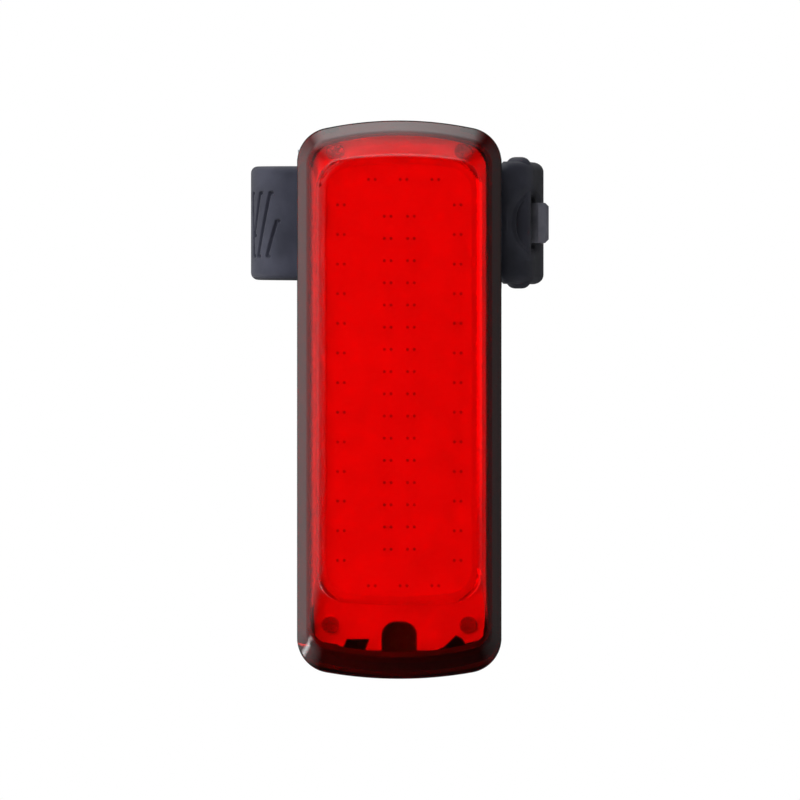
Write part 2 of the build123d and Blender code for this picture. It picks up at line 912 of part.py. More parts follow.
def make_hook():
    """Hook at the right: a stem out from the wing and a tip turned to the front."""
    half = hook_height / 2
    stem_inner = math.sqrt(wing_back**2 - hook_stem_front**2) - wing_thickness / 2
    outline = make_face(
        Polyline(
            (stem_inner, -hook_stem_back), (stem_inner, -hook_stem_front), (hook_inner, -hook_stem_front),
            (hook_inner, -hook_front), (hook_outer, -hook_front), (hook_outer, -hook_stem_back),
            (stem_inner, -hook_stem_back)
        )
    )
    hook = Pos(0, 0, -half) * extrude(outline, hook_height)
    outer_edges = hook.faces().sort_by(Axis.X)[-1].edges()
    return chamfer(outer_edges, hook_chamfer)


def loop_point(angle):
    """A place on the strap's round back, by its angle from +X."""
    turn = math.radians(angle)
    return (-loop_side + loop_radius * math.cos(turn), -loop_back + loop_radius * math.sin(turn))


def band(path, width):
    """A strap stretch: its path thickened with round ends and given its width, edges softened."""
    outline = make_face(Wire(path.edges()).offset_2d(half_strap).edges())
    solid = Pos(0, 0, -width / 2) * extrude(outline, width)
    rims = solid.edges().group_by(Axis.Z)
    return fillet(rims[0] + rims[-1], strap_edge)


def bend_share():
    """Angle on the loop that keeps the round ends of two stretches apart."""
    return math.degrees(bend_spacing / loop_radius)


def make_strap_root():
    """Left stretch of the strap, from its pin round the side, with the grip grooves."""
    side_x = -loop_side - loop_radius
    bend_x = side_x + strap_left_bend
    bend_y = -strap_pin_depth + strap_left_bend
    path = Line((-strap_pin_side, -strap_pin_depth), (bend_x, -strap_pin_depth))
    path += ThreePointArc(
        (bend_x, -strap_pin_depth),
        (bend_x - strap_left_bend * half_turn_share, bend_y - strap_left_bend * half_turn_share),
        (side_x, bend_y)
    )
    path += Line((side_x, bend_y), (side_x, -loop_back))
    last = back_bend_angle + bend_share()
    path += ThreePointArc((side_x, -loop_back), loop_point((180 + last) / 2), loop_point(last))
    root = band(path, strap_width)
    eye = post(-strap_pin_side, strap_pin_depth, strap_eye_radius, -strap_width / 2, strap_width / 2)
    root = root + eye - post(-strap_pin_side, strap_pin_depth, strap_pin_radius, -strap_width, strap_width)
    surface = strap_left_bend + half_strap
    for top_angle, bottom_angle, top, bottom in grooves:
        ends = []
        for angle, z in ((top_angle, top), (bottom_angle, bottom)):
            turn = math.radians(angle)
            ends.append(Vector(bend_x - surface * math.sin(turn), bend_y - surface * math.cos(turn), z))
        middle = (ends[0] + ends[1]) / 2
        outwards = Vector(middle.X - bend_x, middle.Y - bend_y, 0)
        along = ends[0] - ends[1]
        frame = Plane(origin=middle, x_dir=along, z_dir=outwards)
        cutter = frame * Box(along.length, groove_width, 2 * groove_depth)
        root -= cutter
    return root


def make_strap_back():
    """Middle stretch, round the back of the post."""
    first = end_bend_angle + bend_share()
    path = ThreePointArc(
        loop_point(back_bend_angle), loop_point((back_bend_angle + first) / 2), loop_point(first)
    )
    return band(path, strap_width)


def end_path():
    """Line of the strap's end: on round the loop, straight past the hook, then curled in front of it."""
    turn = math.radians(end_turn_angle)
    leave = Vector(*loop_point(end_turn_angle))
    heading = Vector(math.sin(turn), -math.cos(turn))
    inward = Vector(-math.cos(turn), -math.sin(turn))
    curl_start = leave + heading * end_straight
    centre = curl_start + inward * end_curl_radius

    def on_curl(angle):
        swing = math.radians(angle)
        back = inward * (end_curl_radius * math.cos(swing))
        return centre - back + heading * (end_curl_radius * math.sin(swing))

    middle = loop_point((end_bend_angle + end_turn_angle) / 2)
    path = ThreePointArc(loop_point(end_bend_angle), middle, leave)
    path += Line(leave, curl_start)
    path += ThreePointArc(curl_start, on_curl(end_curl_angle / 2), on_curl(end_curl_angle))
    return path


def make_strap_end():
    """Holed end of the strap, with thicker bosses above and below the hole."""
    end = band(end_path(), strap_end_width)
    turn = math.radians(end_turn_angle)
    lean = math.tan(turn) * (end_boss_depth - loop_back)
    boss_x = loop_point(end_turn_angle)[0] + lean - half_strap / 2
    boss = post(boss_x, end_boss_depth, end_boss_radius, -end_boss_width / 2, end_boss_width / 2)
    boss = fillet(boss.edges().filter_by(GeomType.CIRCLE), strap_edge)
    side = Plane(origin=(0, 0, 0), x_dir=(0, 1, 0), z_dir=(1, 0, 0))
    centre = -(hole_front + hole_back) / 2
    outline = Pos(centre, 0) * Rectangle(hole_front - hole_back, hole_height)
    ends = outline.vertices().sort_by(Axis.X)
    outline = fillet(ends[:2], hole_front_corner)
    ends = outline.vertices().sort_by(Axis.X)
    outline = fillet(ends[-2:], hole_back_corner)
    return end + boss - extrude(side * outline, 2 * hook_outer)


def make_strap_pin():
    """Steel pin through the ears and the strap's eye."""
    reach = strap_width / 2 + fit_gap + ear_thickness
    return post(-strap_pin_side, strap_pin_depth, strap_pin_radius - running_gap, -reach, reach)


nodes = {
    "lens_cover": make_lens_cover,
    "rear_housing": make_rear_housing,
    "lens_seal": make_lens_seal,
    "diffuser": make_diffuser,
    "led_board": make_led_board,
    "led_chips": make_led_chips,
    "led_carrier": make_led_carrier,
    "carrier_screws": make_carrier_screws,
    "main_board": make_main_board,
    "board_spacers": make_board_spacers,
    "board_link": make_board_link,
    "battery_cell": make_battery_cell,
    "battery_tape": make_battery_tape,
    "battery_pad": make_battery_pad,
    "battery_plug": make_battery_plug,
    "battery_leads": make_battery_leads,
    "control_chip": make_control_chip,
    "charge_chip": make_charge_chip,
    "driver_coil": make_driver_coil,
    "board_capacitors": make_board_capacitors,
    "status_lamp": make_status_lamp,
    "usb_socket": make_usb_socket,
    "port_flap": make_port_flap,
    "power_button": make_power_button,
    "button_gasket": make_button_gasket,
    "switch_case": make_switch_case,
    "switch_plunger": make_switch_plunger,
    "switch_legs": make_switch_legs,
    "strap_mount": make_strap_mount,
    "mount_screws": make_mount_screws,
    "saddle_pad": make_saddle_pad,
    "strap_pin": make_strap_pin,
    "strap_root": make_strap_root,
    "strap_back": make_strap_back,
    "strap_end": make_strap_end,
}

for name, make in nodes.items():
    export_step(make(), f"parts/{name}.step")
    print("wrote", name)
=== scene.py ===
import json
import math
import bpy
import bmesh
import numpy as np
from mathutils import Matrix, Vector


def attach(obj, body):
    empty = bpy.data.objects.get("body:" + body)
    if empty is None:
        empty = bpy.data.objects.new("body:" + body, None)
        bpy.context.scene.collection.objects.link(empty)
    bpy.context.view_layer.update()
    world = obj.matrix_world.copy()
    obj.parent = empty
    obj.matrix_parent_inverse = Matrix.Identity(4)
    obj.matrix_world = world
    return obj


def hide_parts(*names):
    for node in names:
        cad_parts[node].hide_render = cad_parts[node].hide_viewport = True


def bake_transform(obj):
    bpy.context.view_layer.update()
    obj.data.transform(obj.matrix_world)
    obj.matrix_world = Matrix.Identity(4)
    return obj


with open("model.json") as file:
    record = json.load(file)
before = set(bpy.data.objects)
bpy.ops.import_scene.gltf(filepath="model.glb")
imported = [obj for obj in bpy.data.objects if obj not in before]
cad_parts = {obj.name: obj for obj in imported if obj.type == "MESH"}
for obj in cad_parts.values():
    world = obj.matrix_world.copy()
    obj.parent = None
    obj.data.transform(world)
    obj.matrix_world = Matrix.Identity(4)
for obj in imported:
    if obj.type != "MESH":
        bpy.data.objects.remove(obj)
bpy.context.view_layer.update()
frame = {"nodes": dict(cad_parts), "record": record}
print("frame loaded")

mm = 0.001
pixel = 0.1415 * mm  # one pixel of the photograph, on the object
mergeReach = 1e-7  # points closer than this become one, in metres


# Plain helpers

def linear(red, green, blue):
    # screen colour 0-255 to linear light, by the usual curve
    out = []
    for value in (red, green, blue):
        share = value / 255
        out.append(share / 12.92 if share <= 0.04045 else ((share + 0.055) / 1.055) ** 2.4)
    return (*out, 1.0)


def quarter(count):
    # angles over a quarter turn
    return np.linspace(0, math.pi / 2, count)


def gridMesh(name, grid, closeRows=False, poles=(False, False), sharp=32):
    # A grid of points, rows by columns. Neighbours make four-sided faces, the columns wrap round,
    # and a pole closes the first or last row with a fan to its mean point.
    rows, columns = grid.shape[:2]
    points = grid.reshape(-1, 3)
    i, j = np.meshgrid(np.arange(rows if closeRows else rows - 1), np.arange(columns), indexing="ij")
    below, beside = (i + 1) % rows, (j + 1) % columns
    corners = (i * columns + j, i * columns + beside, below * columns + beside, below * columns + j)
    faces = np.stack(corners, -1).reshape(-1, 4).tolist()
    ring = np.arange(columns)
    following = (ring + 1) % columns
    if poles[0]:
        points = np.vstack([points, grid[0].mean(0)])
        faces += np.stack([np.full(columns, len(points) - 1), following, ring], -1).tolist()
    if poles[1]:
        points = np.vstack([points, grid[-1].mean(0)])
        start = (rows - 1) * columns
        faces += np.stack([np.full(columns, len(points) - 1), start + ring, start + following], -1).tolist()
    return meshObject(name, points, faces, sharp)


def meshObject(name, points, faces, sharp):
    # Points and faces into a smooth mesh whose faces all look outwards. Edges that turn by more than the sharp
    # angle, in degrees, stay crisp.
    mesh = bpy.data.meshes.new(name)
    mesh.from_pydata(points.tolist(), [], faces)
    bm = bmesh.new()
    bm.from_mesh(mesh)
    bmesh.ops.remove_doubles(bm, verts=bm.verts, dist=mergeReach)
    bmesh.ops.recalc_face_normals(bm, faces=bm.faces)
    if bm.calc_volume(signed=True) < 0:
        bmesh.ops.reverse_faces(bm, faces=bm.faces)
    bm.to_mesh(mesh)
    bm.free()
    mesh.polygons.foreach_set("use_smooth", np.ones(len(mesh.polygons), bool))
    mesh.set_sharp_from_angle(angle=math.radians(sharp))
    mesh.update()
    piece = bpy.data.objects.new(name, mesh)
    bpy.context.scene.collection.objects.link(piece)
    return piece


# Materials

def newMaterial(name):
    # a node material, handed back with its shader and the Object coordinates that its patterns read
    material = bpy.data.materials.new(name)
    material.use_nodes = True
    nodes, links = material.node_tree.nodes, material.node_tree.links
    shader = nodes["Principled BSDF"]
    place = nodes.new("ShaderNodeTexCoord")
    return material, nodes, links, shader, place.outputs["Object"]


def noise(nodes, links, place, scale, detail=3.0, roughness=0.5):
    # cloudy pattern with about so many cells to the metre
    texture = nodes.new("ShaderNodeTexNoise")
    texture.inputs["Scale"].default_value = scale
    texture.inputs["Detail"].default_value = detail
    texture.inputs["Roughness"].default_value = roughness
    links.new(place, texture.inputs["Vector"])
    return texture.outputs["Fac"]


patterns = {"toneFrom": 0.35, "toneTo": 0.65, "levelFrom": 0.3, "levelTo": 0.7, "edgeSamples": 6}


def ramp(nodes, links, source, low, high):
    # colour between two screen colours, over the middle of a pattern's range
    band = nodes.new("ShaderNodeValToRGB")
    band.color_ramp.elements[0].position = patterns["toneFrom"]
    band.color_ramp.elements[1].position = patterns["toneTo"]
    band.color_ramp.elements[0].color = linear(*low)
    band.color_ramp.elements[1].color = linear(*high)
    links.new(source, band.inputs["Fac"])
    return band.outputs["Color"]


def level(nodes, links, source, low, high):
    # number between two levels, over the middle of a pattern's range
    spread = nodes.new("ShaderNodeMapRange")
    spread.inputs["From Min"].default_value = patterns["levelFrom"]
    spread.inputs["From Max"].default_value = patterns["levelTo"]
    spread.inputs["To Min"].default_value = low
    spread.inputs["To Max"].default_value = high
    links.new(source, spread.inputs["Value"])
    return spread.outputs["Result"]


def bump(nodes, links, source, strength, distance, normal=None):
    # relief from a pattern, laid over another normal where one is given
    relief = nodes.new("ShaderNodeBump")
    relief.inputs["Strength"].default_value = strength
    relief.inputs["Distance"].default_value = distance
    links.new(source, relief.inputs["Height"])
    if normal is not None:
        links.new(normal, relief.inputs["Normal"])
    return relief.outputs["Normal"]


def roundEdge(nodes, radius):
    # normals that turn softly over an edge, so that it catches the light
    edge = nodes.new("ShaderNodeBevel")
    edge.samples = patterns["edgeSamples"]
    edge.inputs["Radius"].default_value = radius
    return edge.outputs["Normal"]


solid = {"driftShare": 0.12, "edge": 0.12 * mm, "lift": 0.03 * mm}


def solidFinish(name, dark, light, grain, roughness, relief=0.15, metallic=0.0):
    # colour drifts with a coarse noise, gloss with a fine one, which also lifts the surface very slightly
    material, nodes, links, shader, place = newMaterial(name)
    drift = noise(nodes, links, place, grain * solid["driftShare"], 4.0)
    fine = noise(nodes, links, place, grain, 2.0, 0.6)
    links.new(ramp(nodes, links, drift, dark, light), shader.inputs["Base Color"])
    links.new(level(nodes, links, fine, *roughness), shader.inputs["Roughness"])
    softened = roundEdge(nodes, solid["edge"])
    links.new(bump(nodes, links, fine, relief, solid["lift"], softened), shader.inputs["Normal"])
    shader.inputs["Metallic"].default_value = metallic
    return material


lens = {
    "tint": (1.0, 0.0, 0.0, 1.0), "ior": 1.47, "outside": (0.03, 0.07), "inside": (0.15, 0.2), "grain": 900.0,
    # the rim colours are a painted shade, dark red, for the rim's inside and the parting face
    "relief": 0.02, "lift": 0.01 * mm, "rimShadeDark": (66, 8, 12), "rimShadeLight": (76, 10, 14),
}


def lensFinish(name, roughness):
    # clear red glass with a faint waver in its gloss and surface
    material, nodes, links, shader, place = newMaterial(name)
    shader.inputs["Base Color"].default_value = lens["tint"]
    shader.inputs["Transmission Weight"].default_value = 1.0
    shader.inputs["IOR"].default_value = lens["ior"]
    faint = noise(nodes, links, place, lens["grain"])
    links.new(level(nodes, links, faint, *roughness), shader.inputs["Roughness"])
    links.new(bump(nodes, links, faint, lens["relief"], lens["lift"]), shader.inputs["Normal"])
    return material


frosted = {"tint": (0.95, 0.93, 0.93, 1.0), "ior": 1.2, "grain": 2500.0, "roughness": (0.06, 0.12)}


def frostedFinish():
    # slightly frosted clear plastic for the status lamp
    material, nodes, links, shader, place = newMaterial("frosted")
    shader.inputs["Base Color"].default_value = frosted["tint"]
    shader.inputs["Transmission Weight"].default_value = 1.0
    shader.inputs["IOR"].default_value = frosted["ior"]
    faint = noise(nodes, links, place, frosted["grain"])
    links.new(level(nodes, links, faint, *frosted["roughness"]), shader.inputs["Roughness"])
    return material


film = {"dark": (226, 224, 222), "light": (240, 238, 236), "grain": 700.0, "roughness": (0.25, 0.4),
        "clear": 0.08, "hazy": 0.14}


def filmFinish(name, alpha):
    # thin clear sheet: mostly see-through, with a soft gloss and some white haze
    material, nodes, links, shader, place = newMaterial(name)
    haze = noise(nodes, links, place, film["grain"])
    links.new(level(nodes, links, haze, *film["roughness"]), shader.inputs["Roughness"])
    links.new(ramp(nodes, links, haze, film["dark"], film["light"]), shader.inputs["Base Color"])
    shader.inputs["Alpha"].default_value = alpha
    return material


rubber = {
    "wear": 260.0, "pits": 7000.0, "roughness": (0.5, 0.68), "edge": 0.25 * mm, "pitting": 0.22,
    "pitDepth": 0.02 * mm, "specular": 0.25, "sheen": 0.04, "sheenRoughness": 0.5,
}


def rubberFinish(name, dark, light):
    # matte moulded rubber: fine pitting, soft wear in the colour, faint sheen
    material, nodes, links, shader, place = newMaterial(name)
    drift = noise(nodes, links, place, rubber["wear"], 5.0)
    pits = noise(nodes, links, place, rubber["pits"], 2.0, 0.7)
    links.new(ramp(nodes, links, drift, dark, light), shader.inputs["Base Color"])
    links.new(level(nodes, links, pits, *rubber["roughness"]), shader.inputs["Roughness"])
    softened = roundEdge(nodes, rubber["edge"])
    pitted = bump(nodes, links, pits, rubber["pitting"], rubber["pitDepth"], softened)
    links.new(pitted, shader.inputs["Normal"])
    shader.inputs["Specular IOR Level"].default_value = rubber["specular"]
    shader.inputs["Sheen Weight"].default_value = rubber["sheen"]
    shader.inputs["Sheen Roughness"].default_value = rubber["sheenRoughness"]
    return material


# each solid finish: dark and light colour, grain, roughness range, relief and metal
finishes = {
    "red_lens": lensFinish("clearRed", lens["outside"]),
    "clear_diffuser": frostedFinish(),
    "black_shell": solidFinish("shellBlack", (33, 32, 35), (39, 38, 42), 5200.0, (0.38, 0.5)),
    "seal_rubber": rubberFinish("sealRubber", (20, 20, 21), (28, 28, 30)),
    "board_front": solidFinish("boardWhite", (240, 237, 232), (248, 245, 241), 2600.0, (0.45, 0.6), 0.05),
    "chip_dots": solidFinish("chipDark", (152, 42, 38), (166, 50, 46), 3000.0, (0.35, 0.5), 0.02),
    "pale_carrier": solidFinish("carrierPale", (234, 232, 227), (244, 242, 238), 2400.0, (0.4, 0.55), 0.06),
    "screw_steel": solidFinish("screwSteel", (126, 126, 130), (154, 154, 158), 6000.0, (0.24, 0.4), 0.1, 0.8),
    "board_main": solidFinish("boardGreen", (14, 74, 40), (22, 92, 52), 2600.0, (0.32, 0.45), 0.05),
    "black_plastic": solidFinish("plasticBlack", (72, 72, 80), (86, 86, 94), 4200.0, (0.42, 0.56), 0.12),
    "cell_foil": solidFinish("cellFoil", (176, 178, 183), (200, 202, 206), 900.0, (0.3, 0.5), 0.2, 0.8),
    "tape": solidFinish("tapePale", (214, 206, 178), (228, 220, 194), 3000.0, (0.6, 0.7), 0.1),
    "foam": solidFinish("foamBlack", (34, 34, 34), (58, 58, 58), 5200.0, (0.85, 0.95), 0.6),
    "lead_jacket": solidFinish("leadRed", (172, 22, 18), (196, 30, 24), 3000.0, (0.35, 0.45), 0.03),
    "ferrite": solidFinish("ferriteGrey", (64, 64, 68), (84, 84, 88), 3600.0, (0.5, 0.7), 0.2),
    "ceramic": solidFinish("ceramicTan", (168, 134, 98), (188, 154, 116), 3000.0, (0.35, 0.5), 0.06),
    "socket_steel": solidFinish(
        "socketSteel", (176, 176, 180), (204, 204, 208), 3000.0, (0.25, 0.4), 0.05, 1.0
    ),
    "soft_rubber": rubberFinish("softRubber", (40, 40, 44), (54, 54, 60)),
    "button_rubber": rubberFinish("buttonRubber", (48, 48, 52), (62, 62, 68)),
    "strap_rubber": rubberFinish("strapRubber", (34, 35, 44), (43, 44, 54)),
}
slotOf = {row["node"]: row["material_slot"] for row in frame["record"]["subparts"]}
for nodeName, cadObject in frame["nodes"].items():
    cadObject.data.materials.clear()
    cadObject.data.materials.append(finishes[slotOf[nodeName]])
clearFilm, hazyFilm = filmFinish("clearFilm", film["clear"]), filmFinish("hazyFilm", film["hazy"])
clearRedInside = lensFinish("clearRedInside", lens["inside"])
# painted shade: opaque dark red on the lens rim's inside and parting face, where the rim looks dark
rimPaintedShade = solidFinish("rimPaintedShade", lens["rimShadeDark"], lens["rimShadeLight"], 2000.0, (0.4, 0.5), 0.05)
print("finishes on", len(frame["nodes"]), "nodes")


# Lens: one closed shell, its skin running from the rim to the window outside and back inside

cover = {
    "halfWidth": 14.5, "top": 14.36, "bottom": -64.67, "rise": 2.1, "lowRise": 1.8, "corner": 5.0,
    "leastCorner": 1.6, "windowHalf": 11.4, "windowTop": 9.34, "windowBottom": -54.05, "windowRise": 1.15,
    "windowLowRise": 0.8, "windowCorner": 3.8, "front": 41.3, "arcSteps": 16, "archSteps": 28, "sideSteps": 48,
    # outlines of the body: depth, then how far each is drawn in at its sides, top and bottom
    "outerRim": [(31.5, 0, 0, 0), (34.6, 0.02, 0.02, 0.03), (35.6, 0.06, 0.06, 0.1), (36.1, 0.11, 0.12, 0.2)],
    "shoulder": (36.45, 0.2, 0.22, 0.35), "brow": (39.25, 1.32, 1.5, 2.4), "crest": (39.88, 1.78, 2.1, 3.4),
    "innerRim": [(31.5, 1.75, 2.05, 3.3), (34.5, 1.75, 2.05, 3.3), (38.64, 1.75, 2.05, 3.3),
                 (38.98, 2.14, 2.35, 3.95)],
    "ledge": (39.25, 2.45, 3.3, 6.3),
    # outlines of the window: distance behind the front, then how far each is grown
    "foot": (0.3, 0.08), "under": (1.5, 0.02), "pane": (1.5, -0.2),
    "windowRim": [(0.26, 0.04), (0.18, 0.0), (0.12, -0.12), (0.05, -0.45), (0.01, -0.75), (0.0, -1.0)],
    # between two outlines: where the rings stand, and how far the middle swells
    "steepFacet": ((0.04, 0.3, 0.6, 0.94), 0.0), "browCurve": ((0.25, 0.5, 0.75), 0.07),
    "flatFacet": ((0.08, 0.35, 0.65, 0.92), 0.02), "innerFacet": ((0.2, 0.5, 0.8), 0.02),
}
flatShares = (0.96, 0.8, 0.5, 0.2)


def endArch(half, top, rise, corner):
    # One end of the outline: a circular arch that rises by so much over the width, between two corner arcs
    # that touch it and the straight sides. Returns its points from right to left.
    archRadius = (half * half + rise * rise) / (2 * rise)
    lift = math.sqrt((archRadius - corner) ** 2 - (half - corner) ** 2)
    foot = top - archRadius + lift
    slope = math.atan2(lift, half - corner)
    turn = np.linspace(0, slope, cover["arcSteps"], endpoint=False)
    sweep = np.linspace(slope, math.pi - slope, cover["archSteps"], endpoint=False)
    right = np.stack([half - corner + corner * np.cos(turn), foot + corner * np.sin(turn)], -1)
    arch = np.stack([archRadius * np.cos(sweep), top - archRadius + archRadius * np.sin(sweep)], -1)
    last = math.pi - slope + turn
    left = np.stack([-half + corner + corner * np.cos(last), foot + corner * np.sin(last)], -1)
    return np.vstack([right, arch, left])


def archedOutline(half, top, bottom, rise, lowRise, corner):
    # straight sides between the two end arches: one ring of sides and heights, anticlockwise from the right
    upper = endArch(half, top, rise, corner)
    lower = -endArch(half, -bottom, lowRise, corner)
    share = np.linspace(0, 1, cover["sideSteps"], endpoint=False)[:, None]
    rightSide = np.array([half, lower[-1, 1]]) + share * np.array([0, upper[0, 1] - lower[-1, 1]])
    leftSide = np.array([-half, upper[-1, 1]]) + share * np.array([0, lower[0, 1] - upper[-1, 1]])
    return np.vstack([rightSide, upper, leftSide, lower])


def atDepth(outline, depth):
    # the outline's points stood up at one depth
    return np.insert(outline, 1, -depth, axis=1)


def bodyRing(depth, side, top, bottom):
    # the body's outline at a depth, drawn in at sides, top and bottom
    corner = max(cover["corner"] - side, cover["leastCorner"])
    outline = archedOutline(
        cover["halfWidth"] - side, cover["top"] - top, cover["bottom"] + bottom,
        cover["rise"], cover["lowRise"], corner
    )
    return atDepth(outline, depth)


def windowRing(behind, grow):
    # the window's outline so far behind the front, grown all round
    outline = archedOutline(
        cover["windowHalf"] + grow, cover["windowTop"] + grow, cover["windowBottom"] - grow,
        cover["windowRise"], cover["windowLowRise"], cover["windowCorner"] + grow / 2
    )
    return atDepth(outline, cover["front"] - behind)


def between(first, last, shares, crown):
    # rings on the straight way from one ring to another, lifted a little in the middle by a sine
    rings = []
    for share in shares:
        ring = first + share * (last - first)
        ring[:, 1] -= crown * math.sin(math.pi * share)
        rings.append(ring)
    return rings


def flatRings(ring):
    # the same ring drawn towards its middle, for a flat face
    middle = ring.mean(0)
    return [middle + (ring - middle) * share for share in flatShares]


def makeLens():
    # Upright rim, a steep facet, a flatter facet and a raised flat window outside. The rim is thick down to
    # the parting face, so that it looks dark, with painted shade on that face and on the rim's inside, and the
    # inside runs alongside the flatter facet and the window.
    shoulder, brow, crest, ledge = [bodyRing(*cover[name]) for name in ("shoulder", "brow", "crest", "ledge")]
    foot, under, pane = [windowRing(*cover[name]) for name in ("foot", "under", "pane")]
    outer = [bodyRing(*ring) for ring in cover["outerRim"]]
    outer += [shoulder, *between(shoulder, brow, *cover["steepFacet"]), brow]
    outer += [*between(brow, crest, *cover["browCurve"]), crest]
    outer += [*between(crest, foot, *cover["flatFacet"]), foot]
    outer += [windowRing(*ring) for ring in cover["windowRim"]]
    outer += flatRings(outer[-1])
    inner = [bodyRing(*ring) for ring in cover["innerRim"]]
    inner += [ledge, *between(ledge, under, *cover["innerFacet"]), under]
    shadeFrom, shadeTo = len(outer) - 1, len(outer) + len(cover["innerRim"]) - 1
    roughTo = len(outer) + len(inner) - 1
    inner += [pane, *flatRings(pane)]
    grid = np.array(outer[::-1] + inner) * mm
    piece = gridMesh("lensCover", grid, poles=(True, True), sharp=28)
    for finish in (finishes["red_lens"], clearRedInside, rimPaintedShade):
        piece.data.materials.append(finish)
    # The parting face and the rim's inside carry a painted shade in opaque dark red, and the slopes inside are
    # a little rougher
    row = np.arange(len(piece.data.polygons)) // grid.shape[1]
    finishIndex = ((row >= shadeTo) & (row < roughTo)).astype(np.int32)
    finishIndex[(row >= shadeFrom) & (row < shadeTo)] = 2
    piece.data.polygons.foreach_set("material_index", finishIndex)
    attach(piece, "light")
    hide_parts("lens_cover")


diffuser = {
    "half": 10.86, "top": 8.84, "bottom": -53.55, "corner": 3.8, "front": 39.0, "thick": 0.8, "rim": 0.7,
    "board": 37.1, "clear": 0.03, "round": 0.16, "roundSteps": 5,
    "panelHalf": 5.04, "panelTop": 3.0, "panelBottom": -48.4, "panelRise": 0.22, "panelCorner": 2.2,
    # outlines of the raised panel: height over the sheet, then how far each is grown
    "panelRings": [(0.0, 0.1), (0.04, 0.05), (0.21, -0.04), (0.25, -0.1)],
}


def boardRing(depth, inset):
    # the board's outline at a depth, drawn in all round
    outline = archedOutline(
        diffuser["half"] - inset, diffuser["top"] - inset, diffuser["bottom"] + inset,
        cover["windowRise"], cover["windowLowRise"], diffuser["corner"] - inset / 2
    )
    return atDepth(outline, depth)


def panelRing(depth, grow):
    # the raised middle panel's outline at a depth, grown all round
    outline = archedOutline(
        diffuser["panelHalf"] + grow, diffuser["panelTop"] + grow, diffuser["panelBottom"] - grow,
        diffuser["panelRise"], diffuser["panelRise"], diffuser["panelCorner"] + grow / 2
    )
    return atDepth(outline, depth)


def makeDiffuser():
    # Clear sheet with a raised middle panel, inside a hazier frame that stands on the board
    front, back = diffuser["front"], diffuser["front"] - diffuser["thick"]
    clear, soft = diffuser["clear"], diffuser["round"]
    foot, edge = diffuser["board"] + clear, diffuser["rim"] + clear
    panel = [panelRing(front + raised, grow) for raised, grow in diffuser["panelRings"]]
    sheet = [*flatRings(boardRing(back, edge))[::-1], boardRing(back, edge), boardRing(front, edge)]
    sheet += [*panel, *flatRings(panel[-1])]
    turn = quarter(diffuser["roundSteps"])
    fall = [(front - soft + soft * math.sin(swing), soft * (1 - math.cos(swing))) for swing in turn]
    border = [boardRing(foot, clear)]
    border += [boardRing(depth, clear + draw) for depth, draw in fall]
    border += [boardRing(depth, diffuser["rim"] - draw) for depth, draw in fall[::-1]]
    border += [boardRing(foot, diffuser["rim"])]
    pieces = [gridMesh("diffuserSheet", np.array(sheet) * mm, poles=(True, True), sharp=25),
              gridMesh("diffuserFrame", np.array(border) * mm, closeRows=True, sharp=40)]
    for piece, finish in zip(pieces, (clearFilm, hazyFilm)):
        piece.data.materials.append(finish)
        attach(piece, "light")
        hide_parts("diffuser")


makeLens()
makeDiffuser()
print("lens and diffuser made")


# Strap: the heading of its middle line is a broken line over the length, and its points are the running sum
# of that heading

strap = {
    "thick": 2.6, "height": 16.1, "endHeight": 17.4, "growOver": 9.0, "outerEdge": 0.95, "innerEdge": 0.5,
    "endEdge": 1.25, "pinSide": -12.2, "pinDepth": 17.4, "eye": 2.4, "pin": 1.0, "pinGap": 0.03, "start": 1.4,
    "run": 3.32, "leftBend": 4.3, "side": 8.5, "loop": 19.56, "turn": 188, "straight": 8.0, "curl": 4.5,
    "curlAngle": 62, "tail": 3.0, "tipCorner": 1.3, "seam": 63.5, "backBend": 112, "endBend": 15,
    "bendSpread": 13, "grooveDepth": 0.55, "grooveHalf": 0.2, "grooveWall": 0.16, "grooveHook": 0.35,
    "hookDrop": 0.05, "seamStretch": 1.0, "lineSteps": 40000, "eyeSteps": 48,
    "faceSteps": 150, "backSteps": 12, "edgeSteps": 7, "lengthSteps": (6, 110, 12, 50, 5),
}
# each groove: its upper and lower end in degrees round the left bend, then the heights of these ends
grooves = [(70, 66, 4.2, -4.7), (50, 64, 4.2, -1.8), (31, 54, 4.2, -4.7), (20, 36, 0.2, -4.7)]
straightTurn = 90 - strap["turn"]
curledTurn = straightTurn - strap["curlAngle"]
stretches = [
    strap["run"], strap["leftBend"] * math.pi / 2, strap["side"], strap["loop"] * math.radians(strap["turn"]),
    strap["straight"], strap["curl"] * math.radians(strap["curlAngle"]), strap["tail"]
]
marks = np.concatenate([[0], np.cumsum(stretches)])
headings = np.radians([180, 180, 90, 90, straightTurn, straightTurn, curledTurn, curledTurn])


def runningSum(values, step):
    # area under the values up to each place, by the trapezium rule
    return np.concatenate([[0], np.cumsum((values[1:] + values[:-1]) / 2 * step)])


def strapLine(length):
    # middle line of the strap at these lengths from the pin: points and outward directions, seen from above
    fine = np.linspace(0, marks[-1], strap["lineSteps"])
    way = np.interp(fine, marks, headings)
    step = fine[1] - fine[0]
    x = strap["pinSide"] + runningSum(np.cos(way), step)
    y = -strap["pinDepth"] + runningSum(np.sin(way), step)
    heading = np.interp(length, marks, headings)
    points = np.stack([np.interp(length, fine, x), np.interp(length, fine, y)], -1)
    return points, np.stack([-np.sin(heading), np.cos(heading)], -1)


def loopLength(angle):
    # length from the pin to a place on the round back, by its angle from the right
    return marks[3] + strap["loop"] * math.radians(180 - angle)


def strapPlace(length, offset, height):
    # a point of the strap from its length, its offset outwards and its height
    points, outward = strapLine(length)
    flat = points + outward * offset[..., None]
    return np.concatenate([flat, height[..., None]], -1)


def halfHeight(length):
    # the strap grows from its width at the back to the end's width, just before the hole
    share = np.clip((length - loopLength(strap["endBend"])) / strap["growOver"], 0, 1)
    share = share * share * (3 - 2 * share)
    return (strap["height"] + share * (strap["endHeight"] - strap["height"])) / 2


